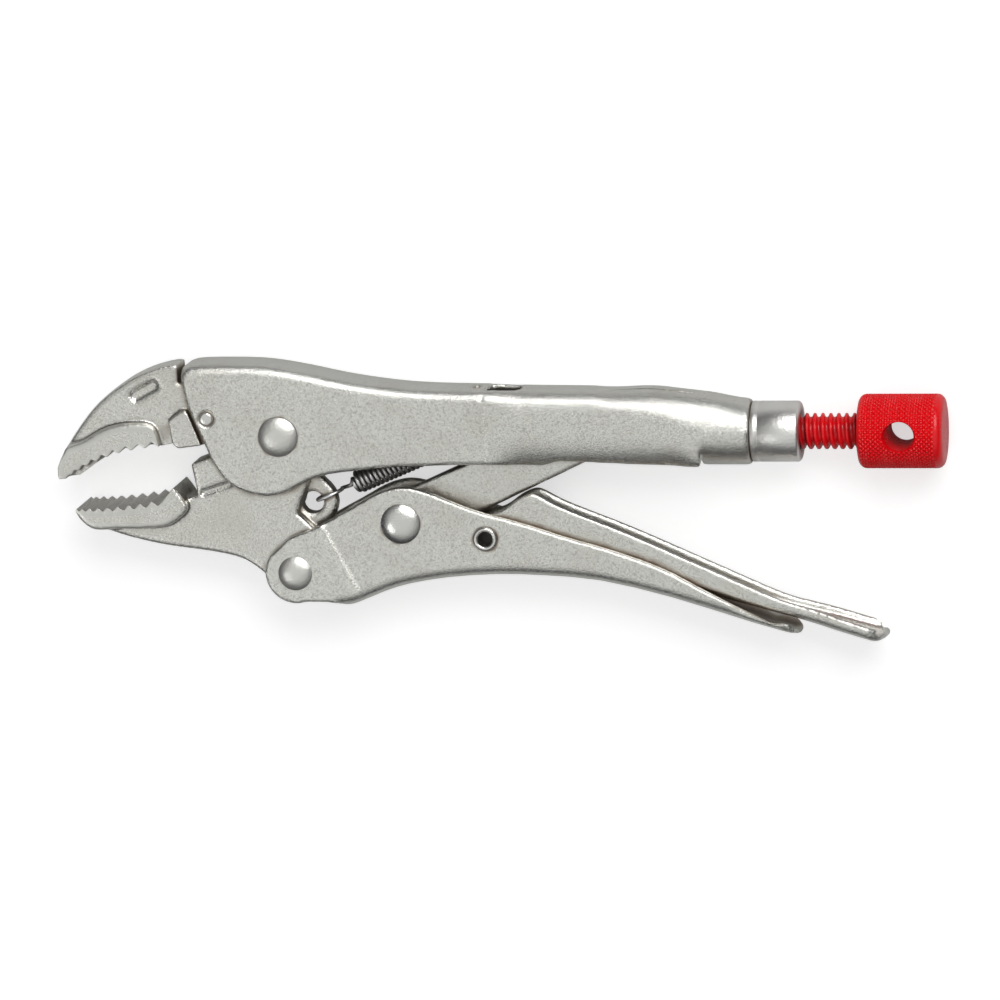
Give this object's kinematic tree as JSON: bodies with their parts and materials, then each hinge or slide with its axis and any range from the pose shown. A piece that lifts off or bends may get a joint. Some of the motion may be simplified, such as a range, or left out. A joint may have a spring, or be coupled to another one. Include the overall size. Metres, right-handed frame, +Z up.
{
  "type": "locking pliers",
  "caption": "Locking pliers with curved toothed jaws, an over-centre toggle, a knurled adjusting screw with a cross hole, and a release lever.",
  "frame": {"origin": "centre of the box in X and Y, lowest point at Z = 0; the tool lies on its side", "axes": "+X along the tool from the jaws to the knob, +Y from the lower handle to the upper handle, +Z up through the thickness"},
  "size_m": [0.2484, 0.0796, 0.0205],
  "materials": {
    "plated_sheet": "satin nickel plate over pressed sheet, fine sparkling grain",
    "plated_forging": "satin nickel plate over a forging, ground tooth pads",
    "bright_steel": "polished plate",
    "hard_steel": "hardened, plain",
    "spring_wire": "bright drawn wire",
    "red_paint": "gloss paint over thread and knurling"
  },
  "bodies": {
    "upper_handle": {"upper_handle": "plated_sheet", "upper_jaw": "plated_forging", "tie_pin": "bright_steel", "threaded_bush": "bright_steel", "jaw_spring": "spring_wire"},
    "pivot_rivet": {"pivot_rivet": "bright_steel"},
    "lower_jaw": {"lower_jaw": "plated_forging"},
    "handle_rivet": {"handle_rivet": "bright_steel"},
    "lower_handle": {"lower_handle": "plated_sheet", "toggle_rivet": "bright_steel", "lever_rivet": "bright_steel"},
    "toggle_link": {"toggle_link": "plated_forging"},
    "release_lever": {"release_lever": "plated_sheet"},
    "screw_nose": {"screw_nose": "hard_steel"},
    "adjusting_screw": {"adjusting_screw": "red_paint"}
  },
  "joints": [
    {"name": "screw_travel", "type": "slide", "parent": "upper_handle", "child": "screw_nose", "axis": [1, 0, 0], "range_m": [-0.0045, 0.008]},
    {"name": "screw_turn", "type": "hinge", "parent": "screw_nose", "child": "adjusting_screw", "pos_m": [0.08885, 0.01935, 0.01025], "axis": [1, 0, 0], "range_deg": [-737, 1310]},
    {"name": "pivot_follow", "type": "hinge", "parent": "upper_handle", "child": "pivot_rivet", "pos_m": [-0.06115, 0.01935, 0.01025], "axis": [0, 0, 1], "range_deg": [-6.8, 11.98]},
    {"name": "jaw_open", "type": "hinge", "parent": "pivot_rivet", "child": "lower_jaw", "pos_m": [-0.06115, 0.01935, 0.01025], "axis": [0, 0, 1], "range_deg": [0, 10.9], "deforming": ["jaw_spring"]},
    {"name": "rivet_follow", "type": "hinge", "parent": "lower_jaw", "child": "handle_rivet", "pos_m": [-0.05765, -0.01925, 0.01025], "axis": [0, 0, -1], "range_deg": [-6.8, 11.98]},
    {"name": "handle_swing", "type": "hinge", "parent": "handle_rivet", "child": "lower_handle", "pos_m": [-0.05765, -0.01925, 0.01025], "axis": [0, 0, -1], "range_deg": [0, 45]},
    {"name": "toggle_swing", "type": "hinge", "parent": "lower_handle", "child": "toggle_link", "pos_m": [-0.02735, -0.00525, 0.01025], "axis": [0, 0, 1], "range_deg": [0, 53.3]},
    {"name": "lever_press", "type": "hinge", "parent": "lower_handle", "child": "release_lever", "pos_m": [-0.00365, -0.00945, 0.01025], "axis": [0, 0, 1], "range_deg": [0, 6]}
  ],
  "couplings": [
    {"joint": "screw_turn", "follows": "screw_travel", "rad_per_m": 2856},
    {"joint": "pivot_follow", "follows": "screw_travel", "rad_per_m": 25.801},
    {"joint": "rivet_follow", "follows": "screw_travel", "rad_per_m": 25.801},
    {"joint": "jaw_open", "follows": "handle_swing", "ratio": 0.24},
    {"joint": "toggle_swing", "follows": "handle_swing", "ratio": 1.18}
  ]
}
